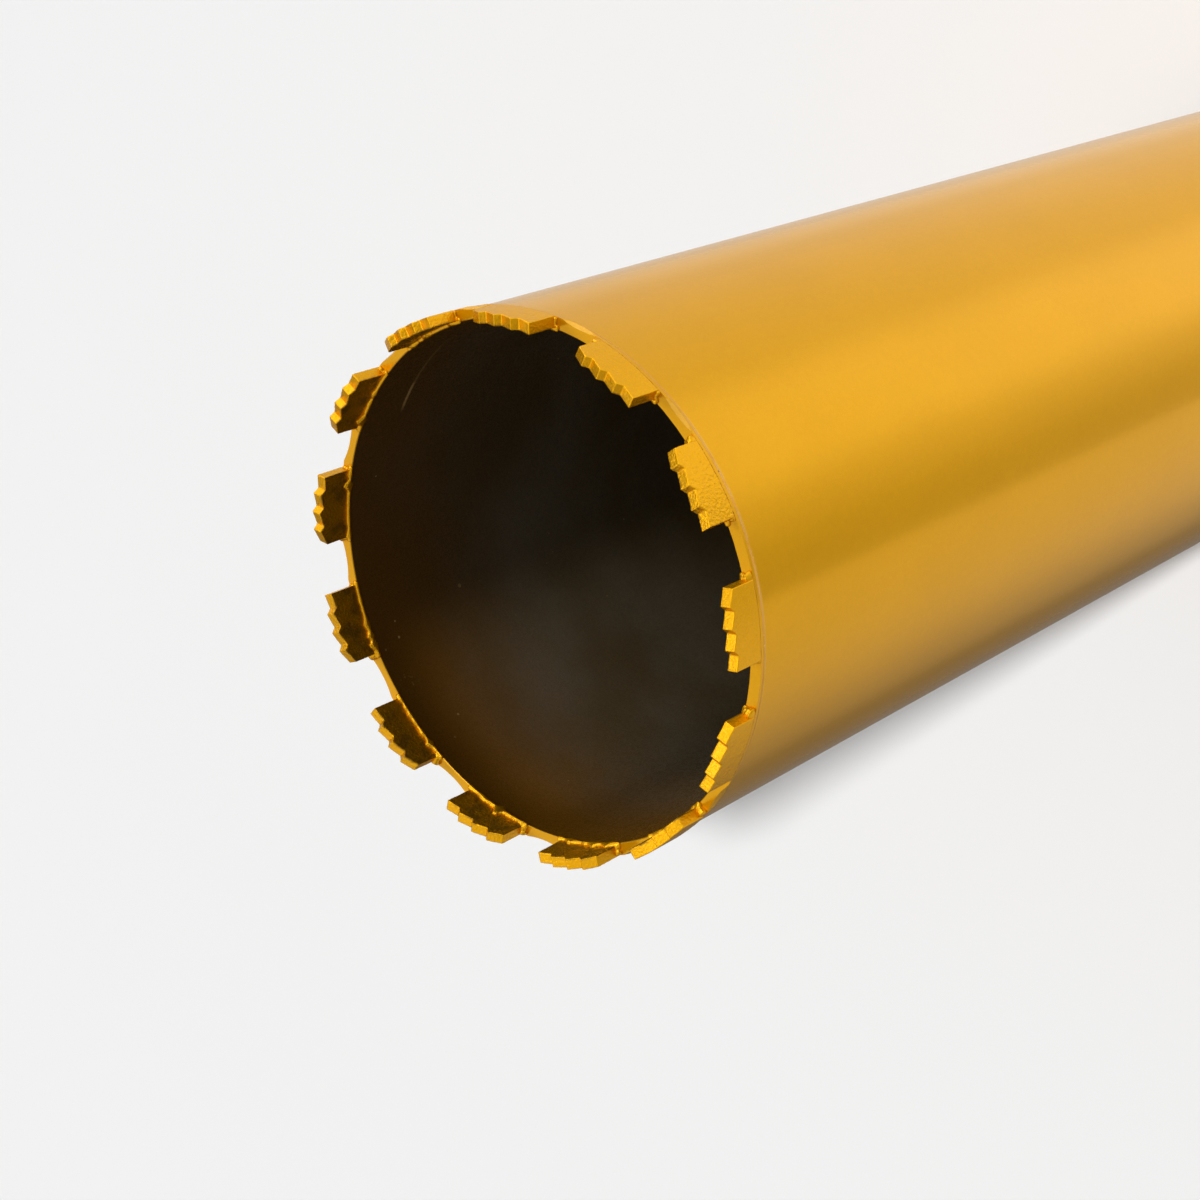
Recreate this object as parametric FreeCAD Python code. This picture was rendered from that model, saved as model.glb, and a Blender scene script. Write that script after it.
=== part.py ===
import FreeCAD, Part
import math
import os

from FreeCAD import Vector

# A wet diamond core bit for drilling large holes in concrete. It stands on its threaded hub
# with the cutting crown up. Millimetres, +Z from the hub face to the crown, the origin in the
# middle of the hub's end face.

# Tube
tube_diameter = 170.0
tube_wall = 3.0
tube_length = 465.0
mouth_edge_break = 0.3

# Rim band: the tube's mouth is swelled a little and tapers back into the tube behind the crown
rim_band_proud = 0.9
rim_band_height = 1.0
rim_band_taper = 2.0

# Diamond segments
segment_count = 13
segment_length = 23.6
segment_height = 12.1
segment_proud = 1.0
inner_ledge = 0.5

# Saw teeth across the top of each segment: a long rise and a short steep back, on a crowned line
tooth_count = 4
first_tooth_rise = 4.7
tooth_depth = 1.65
tooth_back_run = 1.6
crown_radius = 60.0

# Silver solder that holds the segments
solder_film = 0.15
solder_fillet = 1.5
solder_setback = 0.05

# Scoops that a small grinding wheel left on the mouth's outer edge, between the segments
dressing_wheel_radius = 33.0
dressing_depth = 0.9
dressing_slope = 32.0
dressed_gaps = (0, 1, 2, 3, 4, 5, 6, 7, 8, 9, 10)

# End plate, let into the back of the tube
plate_thickness = 12.0
plate_fit = 0.1
plate_bevel = 4.0

# Hub, bored to the full diameter of its spindle thread, 1 1/4 inch with 7 turns to the inch
hub_diameter = 56.0
hub_length = 45.0
hub_spigot_diameter = 40.0
hub_fit = 0.05
hub_flats = 50.0
hub_flats_start = 12.0
hub_flats_height = 22.0
hub_edge_break = 1.5
thread_diameter = 31.75
thread_depth = 34.0
thread_lead_in = 0.8
water_way_diameter = 18.0

# Weld beads
hub_weld_leg = 6.0
plate_weld_proud = 1.0
weld_seat = 0.02

# Radii and heights that follow from the sizes above
tube_radius = tube_diameter / 2
bore_radius = tube_radius - tube_wall
segment_outer_radius = tube_radius + segment_proud
segment_inner_radius = bore_radius + inner_ledge
plate_back_z = hub_length
plate_front_z = plate_back_z + plate_thickness
rim_z = plate_back_z + tube_length
pitch_angle = 360.0 / segment_count
origin = Vector(0, 0, 0)
up = Vector(0, 0, 1)


def turned(points):
    """A solid turned about the Z axis from (radius, height) points."""
    outline = [Vector(radius, 0, height) for radius, height in points]
    face = Part.Face(Part.makePolygon(outline + outline[:1]))
    return face.revolve(origin, up, 360)


def ring(inner_radius, outer_radius, bottom, top):
    """A plain ring between two radii and two heights."""
    corners = [(inner_radius, bottom), (outer_radius, bottom), (outer_radius, top), (inner_radius, top)]
    return turned(corners)


def slab_across(half_length, bottom, top):
    """A slab as long as a segment, lying across the ring at angle 0."""
    reach = 2 * segment_outer_radius
    return Part.makeBox(reach, 2 * half_length, top - bottom, Vector(0, -half_length, bottom))


def at_station(shape, angle):
    """A copy of the shape, turned about the Z axis to its place on the ring."""
    placed = shape.copy()
    placed.rotate(origin, up, angle)
    return placed


def make_tube():
    """The barrel: a rolled steel tube with its swelled mouth and the dressed edge between segments."""
    band_radius = tube_radius + rim_band_proud
    band_foot_z = rim_z - rim_band_height
    tube = turned([
        (bore_radius, plate_back_z),
        (tube_radius, plate_back_z),
        (tube_radius, band_foot_z - rim_band_taper),
        (band_radius, band_foot_z),
        (band_radius, rim_z),
        (bore_radius + mouth_edge_break, rim_z),
        (bore_radius, rim_z - mouth_edge_break),
    ])
    slope = math.radians(dressing_slope)
    outward = Vector(math.cos(slope), 0, math.sin(slope))
    along = Vector(math.sin(slope), 0, -math.cos(slope))
    corner = Vector(band_radius, 0, rim_z)
    reach = 4 * dressing_wheel_radius
    centre = corner + outward * (dressing_wheel_radius - dressing_depth)
    wheel = Part.makeCylinder(dressing_wheel_radius, reach, centre - along * (reach / 2), along)
    for gap in dressed_gaps:
        tube = tube.cut(at_station(wheel, (gap + 0.5) * pitch_angle))
    return tube


def tooth_line():
    """Points (across, height) of a segment's top edge, from its low end to its last tip."""
    half = segment_length / 2
    tip_z = rim_z + segment_height
    pitch = (segment_length - first_tooth_rise) / (tooth_count - 1)

    def crowned(across, height):
        return height - across * across / (2 * crown_radius)

    points = [(-half, crowned(-half, tip_z - tooth_depth))]
    for tooth in range(tooth_count):
        tip = first_tooth_rise - half + tooth * pitch
        points.append((tip, crowned(tip, tip_z)))
        if tooth < tooth_count - 1:
            root = tip + tooth_back_run
            points.append((root, crowned(root, tip_z - tooth_depth)))
    return points


def make_segment():
    """One diamond segment at angle 0: a curved block with square ends and saw teeth on top."""
    half = segment_length / 2
    bottom = rim_z + solder_film
    outline = [(-half, bottom)] + tooth_line() + [(half, bottom)]
    wall = [Vector(0, -across, height) for across, height in outline]
    profile = Part.Face(Part.makePolygon(wall + wall[:1]))
    block = profile.extrude(Vector(2 * segment_outer_radius, 0, 0))
    blank = ring(segment_inner_radius, segment_outer_radius, rim_z, rim_z + 2 * segment_height)
    return block.common(blank)


def make_solder():
    """The solder of one segment at angle 0: a film under it, and fillets inside and at both ends."""
    half = segment_length / 2
    run_out = half + solder_fillet
    film_top = rim_z + solder_film
    fillet_top = film_top + solder_fillet
    toe_radius = bore_radius + mouth_edge_break + solder_setback
    outer_radius = tube_radius + rim_band_proud - solder_setback
    outline = [(-run_out, rim_z), (run_out, rim_z), (half, fillet_top), (-half, fillet_top)]
    wall = [Vector(0, across, height) for across, height in outline]
    profile = Part.Face(Part.makePolygon(wall + wall[:1]))
    mound = profile.extrude(Vector(2 * segment_outer_radius, 0, 0))
    flare = turned([
        (toe_radius, rim_z),
        (outer_radius, rim_z),
        (outer_radius, fillet_top),
        (segment_inner_radius, fillet_top),
    ])
    seat = ring(segment_inner_radius, 2 * segment_outer_radius, film_top, 2 * rim_z)
    seat = seat.common(slab_across(half, film_top, 2 * fillet_top))
    return mound.common(flare).cut(seat)


def make_end_plate():
    """The steel disc that closes the back of the tube, bevelled for its weld and bored for the hub."""
    edge = bore_radius - plate_fit
    eye = hub_spigot_diameter / 2 + hub_fit
    return turned([
        (eye, plate_back_z),
        (edge - plate_bevel, plate_back_z),
        (edge, plate_back_z + plate_bevel),
        (edge, plate_front_z),
        (eye, plate_front_z),
    ])


def make_hub():
    """The turned hub: a boss with two spanner flats, a spigot through the plate and the thread's bore."""
    boss = hub_diameter / 2
    spigot = hub_spigot_diameter / 2
    bore = thread_diameter / 2
    water = water_way_diameter / 2
    drill_tip = (bore - water) / math.sqrt(3)
    hub = turned([
        (bore + thread_lead_in, 0),
        (boss - hub_edge_break, 0),
        (boss, hub_edge_break),
        (boss, plate_back_z),
        (spigot, plate_back_z),
        (spigot, plate_front_z),
        (water, plate_front_z),
        (water, thread_depth + drill_tip),
        (bore, thread_depth),
        (bore, thread_lead_in),
    ])
    for side in (-1, 1):
        inner_face = side * hub_flats / 2
        near_y = min(inner_face, side * hub_diameter)
        flat = Part.makeBox(
            2 * hub_diameter,
            hub_diameter - hub_flats / 2,
            hub_flats_height,
            Vector(-hub_diameter, near_y, hub_flats_start),
        )
        hub = hub.cut(flat)
    return hub


def make_hub_weld():
    """The fillet weld between the hub's boss and the back of the plate."""
    root = hub_diameter / 2 + weld_seat
    return turned([
        (root, plate_back_z - hub_weld_leg),
        (root + hub_weld_leg, plate_back_z),
        (root, plate_back_z),
    ])


def make_plate_weld():
    """The weld that fills the bevel between the plate and the tube, a little proud of both."""
    inner = bore_radius - plate_fit - plate_bevel + weld_seat
    outer = bore_radius - weld_seat
    return turned([
        (inner, plate_back_z),
        ((inner + outer) / 2, plate_back_z - plate_weld_proud),
        (outer, plate_back_z),
        (outer, plate_back_z + plate_bevel),
    ])


def save(shape, name):
    """Writes one piece as parts/NAME.step, named for its node."""
    shape.exportStep(os.path.join("parts", name + ".step"))


os.makedirs("parts", exist_ok=True)
save(make_tube(), "barrel_tube")
save(make_end_plate(), "end_plate")
save(make_hub(), "threaded_hub")
save(make_hub_weld(), "hub_weld")
save(make_plate_weld(), "plate_weld")
segment = make_segment()
solder = make_solder()
for station in range(segment_count):
    angle = station * pitch_angle
    number = f"{station + 1:02d}"
    save(at_station(segment, angle), "diamond_segment_" + number)
    save(at_station(solder, angle), "solder_joint_" + number)
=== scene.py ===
import math
import random

import bmesh
import bpy
from mathutils import Matrix, Vector, noise


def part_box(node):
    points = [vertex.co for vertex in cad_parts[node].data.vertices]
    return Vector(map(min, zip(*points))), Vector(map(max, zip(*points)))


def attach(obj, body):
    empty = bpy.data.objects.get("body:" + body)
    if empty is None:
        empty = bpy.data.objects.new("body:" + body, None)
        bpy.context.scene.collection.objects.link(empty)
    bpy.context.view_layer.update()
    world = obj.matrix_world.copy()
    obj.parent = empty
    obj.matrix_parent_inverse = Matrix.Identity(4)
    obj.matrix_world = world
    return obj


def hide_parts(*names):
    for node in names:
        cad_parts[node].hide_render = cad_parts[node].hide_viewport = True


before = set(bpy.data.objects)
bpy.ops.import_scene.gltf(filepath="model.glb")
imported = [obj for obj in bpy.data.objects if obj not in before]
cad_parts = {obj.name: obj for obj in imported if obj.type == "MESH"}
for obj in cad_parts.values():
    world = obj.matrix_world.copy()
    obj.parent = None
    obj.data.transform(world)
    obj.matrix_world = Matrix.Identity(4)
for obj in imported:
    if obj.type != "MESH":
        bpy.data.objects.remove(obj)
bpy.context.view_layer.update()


# The barrel. A steel tube with a thin wall, rolled and welded along its length, its mouth swelled a little to
# carry the segments. It is sprayed outside with a fine metallic gold; the spray drifts a little way into the
# mouth, and deeper in the bore keeps its dark mill scale.
millimetre = 0.001
tube_radius = 85.0 * millimetre
bore_radius = 82.0 * millimetre
rim_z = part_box("barrel_tube")[1].z
seam_gap = 0.01 * millimetre
corner_turn = math.radians(15.0)

# The paint: its colour, its flakes, and the lacquer over them.
gold = (0.80, 0.38, 0.001)
gold_dust = (0.86, 0.60, 0.24)
metal_flake = 0.36
flake_size = 0.32
peel_size = 2.2
drift_size = 38.0
lacquer = {
    "specular_ior_level": 0.14,
    "specular_tint": (1.0, 0.78, 0.30, 1.0),
    "coat_weight": 0.12,
    "coat_roughness": 0.22,
}

# The bore, in millimetres and degrees. A speck is an azimuth, a depth behind the rim, a radius and a
# strength; a streak is an azimuth, the angles where it is full and gone, and a strength.
mill_scale = (0.185, 0.138, 0.070)
oiled_scale = (0.250, 0.212, 0.148)
drift_gold = (0.27, 0.112, 0.002)
drift_reach = 110.0
drift_wander = 40.0
# Painted light: the bore's wall is paler towards this azimuth, growing over this depth behind the rim.
lit_wall_azimuth = -158.0
lit_wall_depth = 24.0
bore_specks = (
    (172.8, 10.4, 0.55, 1.0),
    (-165.1, 16.9, 0.55, 1.0),
    (166.8, 42.7, 0.90, 0.4),
    (-160.3, 9.8, 0.50, 0.4),
    (174.4, 3.3, 0.50, 0.4),
)
smudge_place = (-177.0, 6.6)
streaks = ((104.0, 8.0, 13.0, 0.25), (113.0, 2.0, 5.0, 0.60))
streak_start = (16.0, 16.6)
streak_end = (17.0, 17.8)

# The mouth, in millimetres behind the rim and out from the axis: its band, the ground line behind it, the
# scoops in its edge, and one pit in the paint.
band_radius = 85.9
band_foot = 1.0
band_slope = 0.45
line_azimuth = -14.0
line_start = (1.2, 1.8)
line_end = (2.4, 3.8)
scoop_depth = (0.05, 0.12)
scoop_inner_edge = (82.4, 82.6)
scoop_start = (0.03, 0.10)
scoop_end = (2.8, 3.2)
pit_brown = (0.05, 0.03, 0.01)
pit_place = (85.5, 1.5, rim_z / millimetre - 1.8)


class Shade:
    """One value on its way to a shader. Arithmetic on it adds the Math nodes that it needs."""

    def __init__(self, mixture, socket):
        self.mixture = mixture
        self.socket = socket

    def math(self, operation, *others):
        """The result of a Math node with this value first."""
        return self.mixture.node("ShaderNodeMath", {"operation": operation}, dict(enumerate((self,) + others)))

    def before(self, operation, other):
        """The result of a Math node with the other value first."""
        return self.mixture.node("ShaderNodeMath", {"operation": operation}, {0: other, 1: self})

    def __add__(self, other):
        return self.math("ADD", other)

    def __sub__(self, other):
        return self.math("SUBTRACT", other)

    def __mul__(self, other):
        return self.math("MULTIPLY", other)

    def __truediv__(self, other):
        return self.math("DIVIDE", other)

    def __pow__(self, other):
        return self.math("POWER", other)

    def __radd__(self, other):
        return self.before("ADD", other)

    def __rsub__(self, other):
        return self.before("SUBTRACT", other)

    def __rmul__(self, other):
        return self.before("MULTIPLY", other)

    def rise(self, low, high):
        """0 below low, 1 above high, and an easy curve between them."""
        settings = {"interpolation_type": "SMOOTHSTEP"}
        return self.mixture.node("ShaderNodeMapRange", settings, {0: self, 1: low, 2: high})

    def fall(self, low, high):
        """1 below low, 0 above high."""
        return 1 - self.rise(low, high)


class Mixture:
    """A node tree that is filled from Python: a finish, the closed seams of a solid, or the room's light."""

    def __init__(self, tree):
        self.tree = tree
        self.tree.nodes.clear()

    def node(self, kind, settings=None, inputs=None, output=0):
        """Adds a node with its settings and the values or links of its sockets, and gives one output."""
        made = self.tree.nodes.new(kind)
        for name, value in (settings or {}).items():
            setattr(made, name, value)
        for key, value in (inputs or {}).items():
            self.feed(made.inputs[key], value)
        return Shade(self, made.outputs[output]) if made.outputs else None

    def feed(self, socket, value):
        """Links a socket to a shade, or sets it to a number, a colour or a place."""
        if isinstance(value, Shade):
            self.tree.links.new(value.socket, socket)
        elif hasattr(value, "__len__") and len(value) == 3 and len(socket.default_value) == 4:
            socket.default_value = (*value, 1.0)
        else:
            socket.default_value = value

    def blend(self, mask, below, above):
        """The colour below where the mask is 0, the colour above where it is 1."""
        return self.node("ShaderNodeMix", {"data_type": "RGBA"}, {0: mask, 6: below, 7: above}, 2)

    def tint(self, colour, strength):
        """A colour made darker or lighter by a value."""
        settings = {"data_type": "RGBA", "blend_type": "MULTIPLY"}
        grey = self.node("ShaderNodeCombineColor", None, {0: strength, 1: strength, 2: strength})
        return self.node("ShaderNodeMix", settings, {0: 1.0, 6: colour, 7: grey}, 2)


class Finish(Mixture):
    """The finish of one kind of surface: a material with a Principled shader, sized in millimetres."""

    def __init__(self, name, **fixed):
        self.material = bpy.data.materials.new(name)
        self.material.use_nodes = True
        super().__init__(self.material.node_tree)
        self.shader = self.tree.nodes.new("ShaderNodeBsdfPrincipled")
        ending = self.tree.nodes.new("ShaderNodeOutputMaterial")
        self.tree.links.new(self.shader.outputs[0], ending.inputs[0])
        for name, value in fixed.items():
            self.input(name).default_value = value
        metres = self.node("ShaderNodeTexCoord", None, None, "Object")
        self.place = self.node("ShaderNodeVectorMath", {"operation": "SCALE"}, {0: metres, 3: 1 / millimetre})
        self.x = self.node("ShaderNodeSeparateXYZ", None, {0: self.place}, 0)
        self.y = self.node("ShaderNodeSeparateXYZ", None, {0: self.place}, 1)
        self.z = self.node("ShaderNodeSeparateXYZ", None, {0: self.place}, 2)
        self.radius = (self.x * self.x + self.y * self.y) ** 0.5

    def input(self, name):
        """The shader's socket of that name, written small and with underscores."""
        return self.shader.inputs[name.replace("_", " ").title().replace("Ior", "IOR")]

    def cloud(self, size, detail=2.0, roughness=0.5, where=None):
        """Soft noise from 0 to 1 whose lumps are about that many millimetres across."""
        inputs = {"Vector": where or self.place, "Scale": 1 / size, "Detail": detail, "Roughness": roughness}
        return self.node("ShaderNodeTexNoise", None, inputs, "Fac")

    def grains(self, size, output="Distance"):
        """Voronoi grains of that size: the distance from each grain's middle, or its own random colour."""
        return self.node("ShaderNodeTexVoronoi", None, {"Vector": self.place, "Scale": 1 / size}, output)

    def stretched(self, along_x, along_y, along_z):
        """The place with each axis divided by its own number, for marks that run one way."""
        factors = (1 / along_x, 1 / along_y, 1 / along_z)
        return self.node("ShaderNodeVectorMath", {"operation": "MULTIPLY"}, {0: self.place, 1: factors})

    def toward(self, azimuth, full, none):
        """1 within the angle full, in degrees, of an azimuth round the axis, 0 beyond the angle none."""
        turn = math.radians(azimuth)
        beside = (self.x * math.cos(turn) + self.y * math.sin(turn)) / self.radius
        return beside.rise(math.cos(math.radians(none)), math.cos(math.radians(full)))

    def spot(self, place, full, none):
        """1 within the distance full of a place, 0 beyond the distance none."""
        ends = {0: self.place, 1: place}
        return self.node("ShaderNodeVectorMath", {"operation": "DISTANCE"}, ends, "Value").fall(full, none)

    def wear(self, **sockets):
        """Feeds the sockets that change over the surface."""
        for name, value in sockets.items():
            self.feed(self.input(name), value)

    def relief(self, *layers):
        """Bumps, each a (height from 0 to 1, depth in millimetres), one over the other."""
        normal = None
        for height, depth in layers:
            inputs = {"Height": height, "Distance": depth * millimetre, "Strength": 1.0}
            if normal:
                inputs["Normal"] = normal
            normal = self.node("ShaderNodeBump", None, inputs)
        self.feed(self.shader.inputs["Normal"], normal)



def gold_spray(finish):
    """Colour, roughness, flakes and orange peel of the sprayed gold."""
    flakes = finish.node("ShaderNodeSeparateColor", None, {0: finish.grains(flake_size, "Color")}, 0)
    drifts = finish.cloud(drift_size, 3.0)
    mottle = finish.cloud(peel_size, 3.0)
    level = 0.90 + 0.10 * drifts + 0.08 * mottle + 0.06 * flakes
    colour = finish.tint(gold, level)
    roughness = 0.11 + 0.05 * mottle + 0.04 * flakes
    return colour, roughness, flakes, mottle


def in_bore(azimuth, depth):
    """The place on the bore's wall at that azimuth and so many millimetres behind the rim."""
    turn = math.radians(azimuth)
    radius = bore_radius / millimetre
    return (radius * math.cos(turn), radius * math.sin(turn), rim_z / millimetre - depth)


def bore_colour(finish, behind_rim, wander):
    """Oiled mill scale under the gold's drift, with specks, a smudge and streaks. The drift carries painted shade
    on its +y side, and the wall is painted lighter towards one azimuth deeper in and darker elsewhere.
    """
    oil = finish.cloud(60.0, 3.0).rise(0.35, 0.70)
    steel = finish.blend(oil, mill_scale, oiled_scale)
    # Painted shade and light: the drift is weaker towards +y and stronger towards -y.
    side_shade_on_drift = 0.84 - 0.16 * finish.y / finish.radius
    drift = behind_rim.fall(0.0, drift_reach - drift_wander * wander) ** 1.5 * side_shade_on_drift
    steel = finish.blend(drift, steel, drift_gold)
    # Painted light: the wall is darkened everywhere and made paler again towards one azimuth, more so deeper into
    # the bore.
    painted_light_on_wall = finish.toward(lit_wall_azimuth, 8.0, 38.0) * behind_rim.rise(0.0, lit_wall_depth)
    steel = finish.tint(steel, 0.72 + painted_light_on_wall)
    specks = finish.grains(9.0).fall(0.025, 0.050) * finish.cloud(14.0).rise(0.50, 0.56)
    for azimuth, depth, radius, strength in bore_specks:
        speck = finish.spot(in_bore(azimuth, depth), 0.6 * radius, radius) * strength
        specks = specks.math("MAXIMUM", speck)
    smudge = finish.spot(in_bore(*smudge_place), 1.0, 5.0) * finish.grains(1.3).fall(0.10, 0.40)
    streak = sum(finish.toward(azimuth, full, none) * strength for azimuth, full, none, strength in streaks)
    streak = streak * behind_rim.rise(*streak_start) * behind_rim.fall(*streak_end)
    return finish.blend(0.70 * specks + 0.25 * smudge + streak, steel, gold_dust)


def dressed(finish, behind_rim):
    """1 where the dressing wheel cut into the outside of the mouth, 0 elsewhere."""
    outline = band_radius - band_slope * (behind_rim - band_foot).math("MAXIMUM", 0.0)
    cut = (outline - finish.radius).rise(*scoop_depth) * finish.radius.rise(*scoop_inner_edge)
    return cut * behind_rim.rise(*scoop_start) * behind_rim.fall(*scoop_end)


def paint_barrel():
    """Gold outside and on the rim, drifting into the dark bore, with a pale ground line behind the rim. The
    scoops that the dressing wheel left on the mouth's edge show its rough scratches through the paint."""
    finish = Finish("gold_paint_on_tube", **lacquer)
    colour, roughness, flakes, mottle = gold_spray(finish)
    behind_rim = rim_z / millimetre - finish.z
    wander = finish.cloud(7.0, 3.0)
    strongest = 0.15 + 0.85 * finish.toward(line_azimuth, 22.0, 36.0)
    line = behind_rim.rise(*line_start) * behind_rim.fall(*line_end) * wander.rise(0.30, 0.55) * strongest
    crumbs = finish.grains(0.8).fall(0.10, 0.30) * line
    cut = dressed(finish, behind_rim)
    scratches = finish.cloud(0.45, 3.0, 0.7) * cut
    colour = finish.blend(0.40 * line + 0.35 * crumbs, colour, gold_dust)
    colour = finish.blend(0.35 * scratches, colour, gold_dust)
    colour = finish.blend(finish.spot(pit_place, 0.25, 0.45), colour, pit_brown)
    inside = finish.radius.fall(bore_radius / millimetre + 0.02, bore_radius / millimetre + 0.12)
    finish.wear(
        base_color=finish.blend(inside, colour, bore_colour(finish, behind_rim, wander)),
        roughness=roughness + 0.12 * inside + 0.10 * line + 0.08 * cut,
        metallic=metal_flake - 0.25 * inside,
    )
    finish.relief((mottle, 0.010), (flakes, 0.003), (crumbs, 0.10), (scratches, 0.20))
    return finish.material


def dress(node, material):
    """Gives a CAD node its finish."""
    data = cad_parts[node].data
    data.materials.clear()
    data.materials.append(material)


def make_closed_seams():
    """Nodes that merge the doubled corners of a CAD wall and leave only its real edges sharp."""
    group = bpy.data.node_groups.new("closed_seams", "GeometryNodeTree")
    for way in ("INPUT", "OUTPUT"):
        group.interface.new_socket("Geometry", in_out=way, socket_type="NodeSocketGeometry")
    seams = Mixture(group)
    wall = seams.node("NodeGroupInput")
    wall = seams.node("GeometryNodeMergeByDistance", None, {"Geometry": wall, "Distance": seam_gap})
    wall = seams.node("GeometryNodeRemoveAttribute", None, {"Geometry": wall, "Name": "custom_normal"})
    turn = seams.node("GeometryNodeInputMeshEdgeAngle")
    corner = seams.node("FunctionNodeCompare", {"operation": "GREATER_THAN"}, {0: turn, 1: corner_turn})
    edges = {"Geometry": wall, "Selection": corner, "Shade Smooth": False}
    wall = seams.node("GeometryNodeSetShadeSmooth", {"domain": "EDGE"}, edges)
    seams.node("NodeGroupOutput", None, {"Geometry": wall})
    return group


def close_seams(node):
    """A CAD wall is shaded as two edges where its round surface meets itself; this joins them."""
    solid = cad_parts[node].modifiers.new("seams", "NODES")
    solid.node_group = closed_seams


dress("barrel_tube", paint_barrel())
closed_seams = make_closed_seams()
close_seams("barrel_tube")


# The end plate. A flat steel disc let into the back of the tube, sprayed with the tube. Its front is the
# floor of the dark bore.
plate_front = (56.0, 56.8)


def paint_plate():
    """Gold on the back, mill scale on the front."""
    finish = Finish("gold_paint_on_plate", **lacquer)
    colour, roughness, flakes, mottle = gold_spray(finish)
    front = finish.z.rise(*plate_front)
    finish.wear(
        base_color=finish.blend(front, colour, mill_scale),
        roughness=roughness + 0.15 * front,
        metallic=metal_flake - 0.25 * front,
    )
    finish.relief((mottle, 0.015), (flakes, 0.003))
    return finish.material


dress("end_plate", paint_plate())
close_seams("end_plate")


# The hub. A turned steel boss with two spanner flats, sprayed with the tube. Its bore and its end face are
# masked in the spray booth and stay bright.
bright_steel = (0.42, 0.41, 0.40)
masked_radius = (18.0, 18.4)
masked_height = (0.1, 0.6)
turning_run = 400.0


def paint_hub():
    """Gold, with bright turned steel in the bore and on the end face."""
    finish = Finish("gold_paint_on_hub", **lacquer)
    colour, roughness, flakes, mottle = gold_spray(finish)
    bare = (finish.radius.fall(*masked_radius) + finish.z.fall(*masked_height)).math("MINIMUM", 1.0)
    turning = finish.cloud(0.5, 2.0, where=finish.stretched(turning_run, turning_run, 1.0))
    finish.wear(
        base_color=finish.blend(bare, colour, bright_steel),
        roughness=roughness + bare * (0.06 * turning - 0.04),
        metallic=metal_flake + bare * (1 - metal_flake),
    )
    finish.relief((mottle, 0.012), (flakes, 0.003))
    return finish.material


hub_finish = paint_hub()
dress("threaded_hub", hub_finish)
close_seams("threaded_hub")


# The spindle thread inside the hub, 1 1/4 inch with 7 turns to the inch. Its ridges are cut into the bore of
# the boss and run out at both ends; the hub's own bore is their root.
thread_pitch = 25.4 / 7 * millimetre
thread_root = 15.875 * millimetre
thread_crest = 13.92 * millimetre
thread_root_half = 1.59 * millimetre
thread_crest_half = 0.45 * millimetre
thread_seat = 0.1 * millimetre
thread_low_end = 2.6 * millimetre
thread_turns = 8
thread_corner = math.radians(30.0)
steps_per_turn = 72
run_out_steps = 18


def loft(shape, rings):
    """Joins each ring of corners to the next with faces."""
    for lower, upper in zip(rings, rings[1:]):
        for corner in range(len(lower)):
            following = (corner + 1) % len(lower)
            shape.faces.new((lower[corner], upper[corner], upper[following], lower[following]))


def add_piece(name, shape, material):
    """A new piece of the bit, made of a shape and covered with a finish. It rides with the bit."""
    mesh = bpy.data.meshes.new(name)
    shape.to_mesh(mesh)
    shape.free()
    mesh.materials.append(material)
    piece = bpy.data.objects.new(name, mesh)
    bpy.context.scene.collection.objects.link(piece)
    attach(piece, "root")
    return piece


def make_thread():
    """The ridges: one trapezoid wound round the bore, its foot a little way into the steel."""
    shape = bmesh.new()
    steps = thread_turns * steps_per_turn
    base = thread_root + thread_seat
    rings = []
    for step in range(steps + 1):
        angle = step * math.tau / steps_per_turn
        middle = thread_low_end + step * thread_pitch / steps_per_turn
        full = min(1.0, step / run_out_steps, (steps - step) / run_out_steps)
        crest = thread_root - (thread_root - thread_crest) * full
        section = (
            (base, -thread_root_half),
            (crest, -thread_crest_half),
            (crest, thread_crest_half),
            (base, thread_root_half),
        )
        around = [(radius * math.cos(angle), radius * math.sin(angle), middle + rise) for radius, rise in section]
        rings.append([shape.verts.new(corner) for corner in around])
    loft(shape, rings)
    shape.faces.new(rings[0])
    shape.faces.new(reversed(rings[-1]))
    bmesh.ops.recalc_face_normals(shape, faces=shape.faces)
    ridges = add_piece("spindle_thread_ridges", shape, hub_finish)
    ridges.data.shade_smooth()
    ridges.data.set_sharp_from_angle(angle=thread_corner)


make_thread()


# The welds. One fillet bead runs round the boss on the back of the plate, one flat bead closes the joint
# between the plate and the tube. Both are laid by machine in small overlapping pools and painted over.
plate_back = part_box("hub_weld")[1].z
plate_bead_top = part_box("plate_weld")[1].z
plate_edge = 81.9 * millimetre
plate_bevel = 4.0 * millimetre
boss_radius = 28.0 * millimetre
hub_weld_leg = 6.0 * millimetre
weld_corner = math.radians(60.0)
weld_strips = 8
pool_steps = 8
pool_bow = 0.9
pool_share = 0.62
weld_chance = random.Random(57)


def paint_welds():
    """Gold over the beads, with a little spatter."""
    finish = Finish("gold_paint_on_welds", **lacquer)
    colour, roughness, flakes, mottle = gold_spray(finish)
    spatter = finish.grains(3.0).fall(0.05, 0.16) * finish.cloud(8.0).rise(0.45, 0.60)
    finish.wear(base_color=colour, roughness=roughness + 0.05 * spatter, metallic=metal_flake)
    finish.relief((mottle, 0.03), (spatter, 0.15), (flakes, 0.004))
    return finish.material


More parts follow.
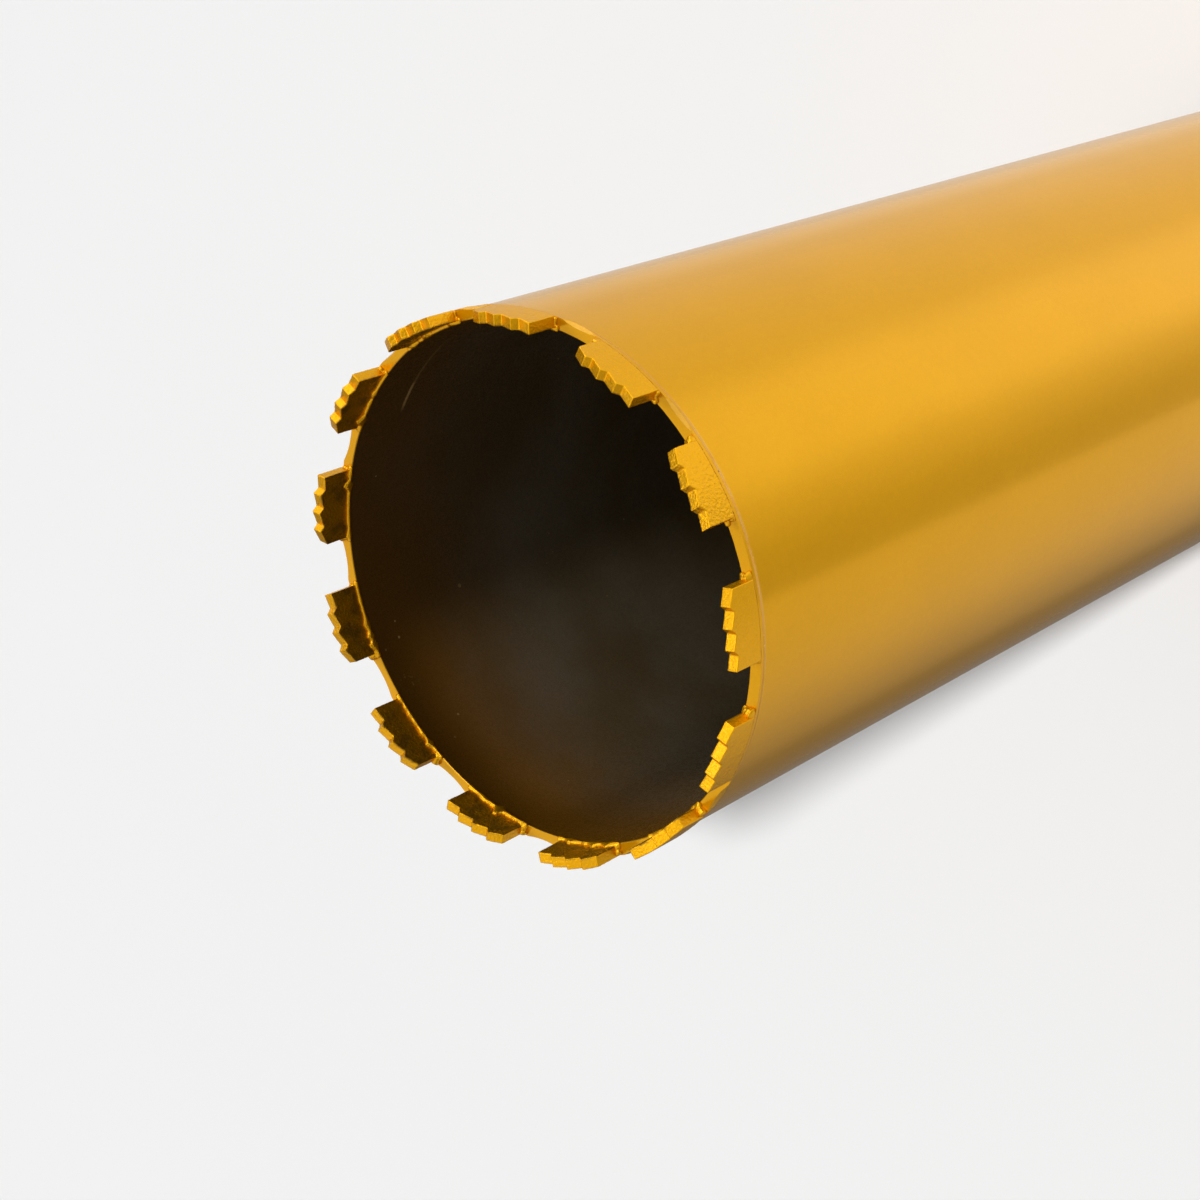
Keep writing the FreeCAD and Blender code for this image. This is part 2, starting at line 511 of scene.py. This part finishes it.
def make_weld(name, node, toe_in, toe_out, root, bulge, pool_length):
    """A closed rippled bead round the axis, its open face between two toes, each a (radius, height)."""
    (in_radius, in_z), (out_radius, out_z) = toe_in, toe_out
    width = math.hypot(out_radius - in_radius, out_z - in_z)
    facing = ((out_z - in_z) / width, (in_radius - out_radius) / width)
    pools = round(math.tau * (in_radius + out_radius) / 2 / pool_length)
    steps = pools * pool_steps
    swell = [weld_chance.uniform(0.75, 1.15) for _ in range(pools)]
    shape = bmesh.new()
    rings = []
    for step in range(steps):
        angle = step * math.tau / steps
        corners = [shape.verts.new((root[0] * math.cos(angle), root[0] * math.sin(angle), root[1]))]
        for strip in range(weld_strips + 1):
            across = strip / weld_strips
            arch = math.sin(across * math.pi)
            phase = (step / pool_steps + pool_bow * arch) % pools
            ripple = 1 - (phase % 1.0)
            height = pool_share * swell[int(phase)] + (1 - pool_share) * ripple ** 1.5
            height *= bulge * arch ** 0.7
            radius = in_radius + (out_radius - in_radius) * across + facing[0] * height
            rise = in_z + (out_z - in_z) * across + facing[1] * height
            corners.append(shape.verts.new((radius * math.cos(angle), radius * math.sin(angle), rise)))
        rings.append(corners)
    loft(shape, rings + rings[:1])
    bmesh.ops.recalc_face_normals(shape, faces=shape.faces)
    bead = add_piece(name, shape, weld_finish)
    bead.data.shade_smooth()
    bead.data.set_sharp_from_angle(angle=weld_corner)
    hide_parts(node)


weld_finish = paint_welds()
make_weld(
    "hub_weld_bead",
    "hub_weld",
    toe_in=(boss_radius, plate_back - hub_weld_leg),
    toe_out=(boss_radius + hub_weld_leg, plate_back),
    root=(boss_radius, plate_back),
    bulge=1.3 * millimetre,
    pool_length=2.6 * millimetre,
)
make_weld(
    "plate_weld_bead",
    "plate_weld",
    toe_in=(plate_edge - plate_bevel, plate_back),
    toe_out=(bore_radius, plate_back),
    root=(plate_edge, plate_bead_top),
    bulge=1.1 * millimetre,
    pool_length=2.4 * millimetre,
)


# The diamond segments. Thirteen blocks of sintered metal with diamond grit in them, square at both ends and
# saw-toothed on top, sprayed with the tube, so that the grit makes the paint rough.
segment_nodes = [name for name in sorted(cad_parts) if name.startswith("diamond_segment_")]
segment_inside = 82.5 * millimetre
segment_flake = 0.62
# The brown of the inner faces' flux stain and painted shade.
flux_and_shade_brown = (0.12, 0.060, 0.010)
edge_round = 0.10 * millimetre
skin_voxel = 0.20 * millimetre
grain_size = 0.8 * millimetre
grain_depths = (0.30, 0.16, 0.14, 0.18, 0.22, 0.16, 0.14, 0.20, 0.22, 0.14, 0.12, 0.12, 0.10)


def paint_segments():
    """Gold over the grit, stained brown in patches on the inner faces, by soldering flux and as painted shade."""
    finish = Finish("gold_paint_on_segments", **lacquer)
    colour, roughness, flakes, mottle = gold_spray(finish)
    grit = finish.cloud(0.6, 3.0, 0.65)
    inner_face = finish.radius.fall(segment_inside / millimetre + 0.2, segment_inside / millimetre + 0.7)
    # Flux stain and painted shade: the inner faces are darkened brown in patches.
    flux_and_shade = finish.cloud(5.0, 3.0).rise(0.38, 0.66) * inner_face
    finish.wear(
        base_color=finish.blend(0.75 * flux_and_shade, colour, flux_and_shade_brown),
        roughness=roughness + 0.06 + 0.15 * flux_and_shade,
        metallic=segment_flake - 0.25 * flux_and_shade,
    )
    finish.relief((mottle, 0.05), (grit, 0.16))
    return finish.material


def cover(piece):
    """Gives a piece one skin of small even faces, whatever forms lie under it."""
    skin = piece.modifiers.new("skin", "REMESH")
    skin.mode = "VOXEL"
    skin.voxel_size = skin_voxel
    skin.use_smooth_shade = True


def roughen(segment, depth):
    """Rounds the edges of a pressed block a little and gives its faces the grain of the grit."""
    grain = bpy.data.textures.new(segment.name + "_grain", "CLOUDS")
    grain.noise_scale = grain_size
    grain.noise_depth = 3
    edge = segment.modifiers.new("edge", "BEVEL")
    edge.width = edge_round
    edge.segments = 2
    cover(segment)
    rough = segment.modifiers.new("rough", "DISPLACE")
    rough.texture = grain
    rough.texture_coords = "LOCAL"
    rough.strength = depth * millimetre


segment_finish = paint_segments()
for node, depth in zip(segment_nodes, grain_depths):
    dress(node, segment_finish)
    roughen(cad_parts[node], depth)


# The solder. Silver solder is melted into the seam under each segment, wicks along its foot and freezes in
# lumps: a low bead inside with a run or two, and a round fillet at each end.
solder_nodes = [name for name in sorted(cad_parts) if name.startswith("solder_joint_")]
solder_seed = 400
solder_flake = 0.48
segment_pitch = math.tau / len(solder_nodes)
segment_half = 11.8 * millimetre
bead_step = 0.7 * millimetre
bead_overrun = 1.0 * millimetre
bead_climb = 0.80
bead_width = 1.12
wave_length = 2.4 * millimetre
run_half = 2.4 * millimetre
fillet_drops = 5
fillet_start = 0.4 * millimetre
fillet_run = 2.2 * millimetre
fillet_thickness = 0.75 * millimetre
full_fillet = (1.6, 2.1)
lean_fillet = (0.55, 0.85)


def paint_solder():
    """Gold over the solder, whose smooth lumps take a brighter coat."""
    finish = Finish("gold_paint_on_solder", **lacquer)
    colour, roughness, flakes, mottle = gold_spray(finish)
    finish.wear(base_color=colour, roughness=roughness, metallic=solder_flake + 0.06 * flakes)
    finish.relief((mottle, 0.04), (flakes, 0.003))
    return finish.material


def lump(shape, turn, place, size):
    """A drop of solder: place is along the ring, out from the axis and up from the rim."""
    along, out, up = place
    angle = turn + along / tube_radius
    standing = Matrix.Translation((out * math.cos(angle), out * math.sin(angle), rim_z + up))
    form = standing @ Matrix.Rotation(angle, 4, "Z") @ Matrix.Diagonal((size[1], size[0], size[2], 1.0))
    bmesh.ops.create_icosphere(shape, subdivisions=2, radius=1.0, matrix=form)


def inner_bead(shape, turn, chance):
    """The bead along the inside foot of a segment, with one to three runs that climb its face."""
    first = -segment_half - bead_overrun
    steps = round(-2 * first / bead_step)
    runs = [chance.uniform(-0.9, 0.9) * segment_half for _ in range(chance.choice((1, 2, 2, 3)))]
    heights = [chance.uniform(0.6, 1.8) * millimetre for _ in runs]
    start = chance.uniform(0.0, 100.0)
    for step in range(steps + 1):
        along = first + step * bead_step
        wave = noise.noise(Vector((start + along / wave_length, 0.0, 0.0)))
        climb = (bead_climb + 0.6 * wave) * millimetre
        for run, height in zip(runs, heights):
            climb += max(0.0, 1 - abs(along - run) / run_half) ** 1.5 * height
        size = (1.3 * bead_step, (bead_width + 0.3 * wave) * millimetre, climb)
        lump(shape, turn, (along, segment_inside, 0.12 * climb), size)


def end_fillet(shape, turn, side, fullness, chance):
    """The fillet in the corner between a segment's end and the rim, fullest at the outside."""
    for drop in range(fillet_drops):
        across = drop / (fillet_drops - 1)
        reach = fullness * (0.75 + 0.35 * across) * chance.uniform(0.85, 1.15) * millimetre
        out = segment_inside + fillet_start + across * fillet_run
        along = side * (segment_half + 0.15 * reach)
        lump(shape, turn, (along, out, 0.15 * reach), (reach, fillet_thickness, 0.95 * reach))


def make_solder(node, number):
    """The solder of one segment: its lumps, melted into one skin."""
    chance = random.Random(solder_seed + number)
    turn = number * segment_pitch
    shape = bmesh.new()
    inner_bead(shape, turn, chance)
    end_fillet(shape, turn, 1, chance.uniform(*full_fillet), chance)
    end_fillet(shape, turn, -1, chance.uniform(*lean_fillet), chance)
    joint = add_piece(f"solder_lumps_{number + 1:02d}", shape, solder_finish)
    cover(joint)
    flow = joint.modifiers.new("flow", "SMOOTH")
    flow.iterations = 4
    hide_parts(node)


solder_finish = paint_solder()
for number, node in enumerate(solder_nodes):
    make_solder(node, number)


# The studio: a plain pale floor, a soft panel standing in front of the bit below its mouth, a wide lamp high
# behind it, and a high lamp that lights the floor alone and gives the bit its shadow there.
floor_radius = 6.0
floor_white = (0.86, 0.86, 0.86)
floor_bounce = (0.22, 0.22, 0.22)
floor_sides = 96
panel_azimuth = 9.0
panel_distance = 1.1
panel_width = 0.7
panel_height = 0.42
panel_power = 6.8
lamp_distance = 3.0
high_azimuth = 5.5
high_elevation = 48.0
high_angle = 3.5
high_strength = 2.75
back_azimuth = 122.0
back_elevation = 42.0
back_angle = 25.0
back_strength = 1.15


def hang(name, kind, azimuth, elevation, distance, aim):
    """A lamp that looks at a point of the bit's axis from that side. No camera sees it."""
    turn = math.radians(azimuth)
    tilt = math.radians(elevation)
    ray = Vector((math.cos(turn) * math.cos(tilt), math.sin(turn) * math.cos(tilt), math.sin(tilt)))
    lamp = bpy.data.lights.new(name, kind)
    holder = bpy.data.objects.new(name, lamp)
    bpy.context.scene.collection.objects.link(holder)
    holder.location = ray * distance + Vector((0.0, 0.0, aim))
    holder.rotation_mode = "QUATERNION"
    holder.rotation_quaternion = ray.to_track_quat("Z", "Y")
    holder.visible_camera = False
    return lamp, holder


def hang_sun(name, azimuth, elevation, angle, strength):
    """A lamp so far off that its light is parallel, apart from the angle that it spans."""
    lamp, holder = hang(name, "SUN", azimuth, elevation, lamp_distance, 0.0)
    lamp.angle = math.radians(angle)
    lamp.energy = strength
    return holder


def make_floor():
    """The floor: white to the camera, darker to the light that it throws back."""
    mesh = bpy.data.meshes.new("floor")
    shape = bmesh.new()
    bmesh.ops.create_circle(shape, cap_ends=True, segments=floor_sides, radius=floor_radius)
    shape.to_mesh(mesh)
    shape.free()
    floor = bpy.data.objects.new("floor", mesh)
    bpy.context.scene.collection.objects.link(floor)
    finish = Finish("floor_paper", roughness=0.9)
    tone = 0.985 + 0.03 * finish.cloud(600.0)
    path = finish.node("ShaderNodeLightPath", None, None, "Is Camera Ray")
    finish.wear(base_color=finish.tint(finish.blend(path, floor_bounce, floor_white), tone))
    mesh.materials.append(finish.material)
    floor.visible_glossy = False
    return floor


def light_studio():
    """Hangs the lamps. The high one lights only the floor, the other two only the bit."""
    panel, stand = hang("front_panel", "AREA", panel_azimuth, 0.0, panel_distance, panel_height / 2)
    panel.shape = "RECTANGLE"
    panel.size = panel_width
    panel.size_y = panel_height
    panel.energy = panel_power
    high = hang_sun("high_lamp", high_azimuth, high_elevation, high_angle, high_strength)
    floor = make_floor()
    back = hang_sun("back_lamp", back_azimuth, back_elevation, back_angle, back_strength)
    for holder in (stand, back):
        holder.visible_glossy = False
    for holder, state in ((high, "INCLUDE"), (stand, "EXCLUDE"), (back, "EXCLUDE")):
        lit = bpy.data.collections.new("floor_of_" + holder.name)
        lit.objects.link(floor)
        lit.collection_objects[0].light_linking.link_state = state
        holder.light_linking.receiver_collection = lit


light_studio()


# The room round the studio: even light that is stronger from above, and what the paint mirrors. In degrees,
# a panel is a strength, an azimuth, a half width and a softness, and a lamp has its elevation too. A foot or
# a top is the height, from -1 to 1, at which a panel starts or ends.
room_white = 0.88
side_fill = 0.08
sky_fill = 0.45
sky_edge = (0.35, 0.85)
sky_lean = 0.95
gloss_base = 0.22
tall_panels = (
    (0.26, -48.0, 44.0, 20.0),
    (0.80, 56.0, 68.0, 25.0),
    (0.42, 20.0, 4.0, 28.0),
    (0.50, 150.0, 24.0, 16.0),
)
sharp_panel = (0.50, -88.0, 41.0, 1.5)
sharp_panel_reach = (1.0, -43.0, 74.0, 27.0)
low_panel = (1.4, 92.0, 30.0, 12.0)
low_panel_foot = (-0.42, -0.25)
horizon = (0.1, 0.5)
sky_gloss = 1.2
sky_lamps = ((4.0, 129.0, 67.0, 10.0, 7.0), (2.2, 55.0, 38.0, 16.0, 8.0))
front_card = (0.75, -50.0, 60.0, 20.0)
front_card_top = (0.68, 0.85)
back_card = (0.92, 157.0, 30.0, 12.0)
back_card_foot = (-0.05, 0.10)
back_card_top = (0.34, 0.52)


def light_room():
    """Even light from everywhere; in the paint's gloss, tall soft panels that stand round the bit."""
    world = bpy.data.worlds.new("studio")
    bpy.context.scene.world = world
    world.use_nodes = True
    room = Mixture(world.node_tree)
    direction = room.node("ShaderNodeTexCoord", None, None, "Generated")
    x = room.node("ShaderNodeSeparateXYZ", None, {0: direction}, 0)
    y = room.node("ShaderNodeSeparateXYZ", None, {0: direction}, 1)
    z = room.node("ShaderNodeSeparateXYZ", None, {0: direction}, 2)
    level = (x * x + y * y) ** 0.5

    def soft_edged(toward, half_width, softness):
        """1 inside a panel or lamp, 0 outside it, from the cosine of the angle to its middle."""
        outer = math.cos(math.radians(half_width + softness))
        inner = math.cos(math.radians(max(half_width - softness, 0.0)))
        return toward.rise(outer, inner)

    def panel(strength, azimuth, half_width, softness):
        turn = math.radians(azimuth)
        toward = (x * math.cos(turn) + y * math.sin(turn)) / level
        return strength * soft_edged(toward, half_width, softness)

    def lamp(strength, azimuth, elevation, half_width, softness):
        turn = math.radians(azimuth)
        tilt = math.radians(elevation)
        flat = math.cos(tilt)
        toward = x * (math.cos(turn) * flat) + y * (math.sin(turn) * flat) + z * math.sin(tilt)
        return strength * soft_edged(toward, half_width, softness)

    gloss = gloss_base + sum(panel(*place) for place in tall_panels)
    gloss = gloss + panel(*sharp_panel) * panel(*sharp_panel_reach)
    gloss = gloss + panel(*low_panel) * z.rise(*low_panel_foot)
    sky = sky_gloss + sum(lamp(*place) for place in sky_lamps)
    sky = sky - panel(*front_card) * z.fall(*front_card_top)
    above = z.rise(*horizon)
    shaded = 1 - panel(*back_card) * z.rise(*back_card_foot) * z.fall(*back_card_top)
    gloss = (gloss * (1 - above) + sky * above) * shaded
    seen = room.node("ShaderNodeLightPath", None, None, "Is Camera Ray")
    glossy = room.node("ShaderNodeLightPath", None, None, "Is Glossy Ray")
    fill = side_fill + sky_fill * z.rise(*sky_edge) * (1 + sky_lean * y)
    strength = fill * (1 - seen) * (1 - glossy) + glossy * gloss + seen * room_white
    shade = room.node("ShaderNodeBackground", None, {"Color": (1.0, 1.0, 1.0), "Strength": strength})
    ending = room.tree.nodes.new("ShaderNodeOutputWorld")
    room.tree.links.new(shade.socket, ending.inputs[0])


light_room()


# The camera, fitted to the photograph's mouth ellipse, segment corners and tube outline. It looks down into
# the mouth from in front, rolled so that the tube runs off to the upper right.
camera_place = (0.48580, -0.05108, 0.95664)
camera_target = (0.02304, -0.01311, 0.51000)
camera_roll = 113.07
camera_lens = 66.04
camera_sensor = 36.0


def place_camera():
    """The camera, held by an object that carries its place and turn."""
    camera = bpy.data.cameras.new("camera")
    camera.lens = camera_lens
    camera.sensor_width = camera_sensor
    holder = bpy.data.objects.new("camera", camera)
    bpy.context.scene.collection.objects.link(holder)
    holder.location = camera_place
    ahead = Vector(camera_target) - Vector(camera_place)
    level = ahead.to_track_quat("-Z", "Y").to_matrix()
    holder.rotation_mode = "QUATERNION"
    holder.rotation_quaternion = (level @ Matrix.Rotation(math.radians(-camera_roll), 3, "Z")).to_quaternion()
    bpy.context.scene.camera = holder


place_camera()
bpy.context.scene.view_settings.view_transform = "Standard"
